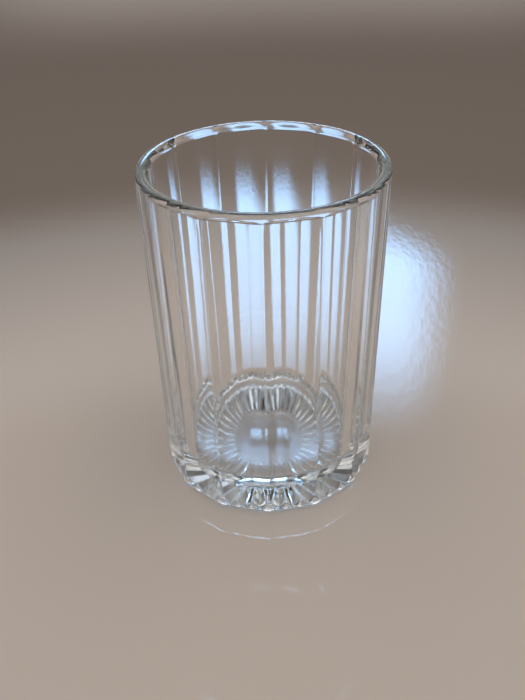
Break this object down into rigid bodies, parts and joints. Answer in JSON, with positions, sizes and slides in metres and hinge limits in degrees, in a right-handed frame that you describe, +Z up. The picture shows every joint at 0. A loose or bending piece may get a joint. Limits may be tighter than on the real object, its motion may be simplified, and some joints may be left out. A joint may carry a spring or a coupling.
{
  "type": "faceted shot glass",
  "caption": "Small clear pressed-glass tumbler with flat tapered panels, a rounded lip, a smooth round cavity and a thick base with a sunburst underneath; it holds one measure of drink.",
  "frame": {"origin": "middle of the foot, on the surface that the glass stands on", "axes": "+Z up along the axis of the glass, out of its mouth; ridges between panels face +Y and -Y, flat panels face +X and -X"},
  "size_m": [0.044, 0.044, 0.062],
  "materials": {
    "clear_glass": "fire-polished, almost colourless, with a faint grey-green tint in the thick base"
  },
  "bodies": {
    "root": {"shot_glass": "clear_glass"}
  },
  "joints": []
}
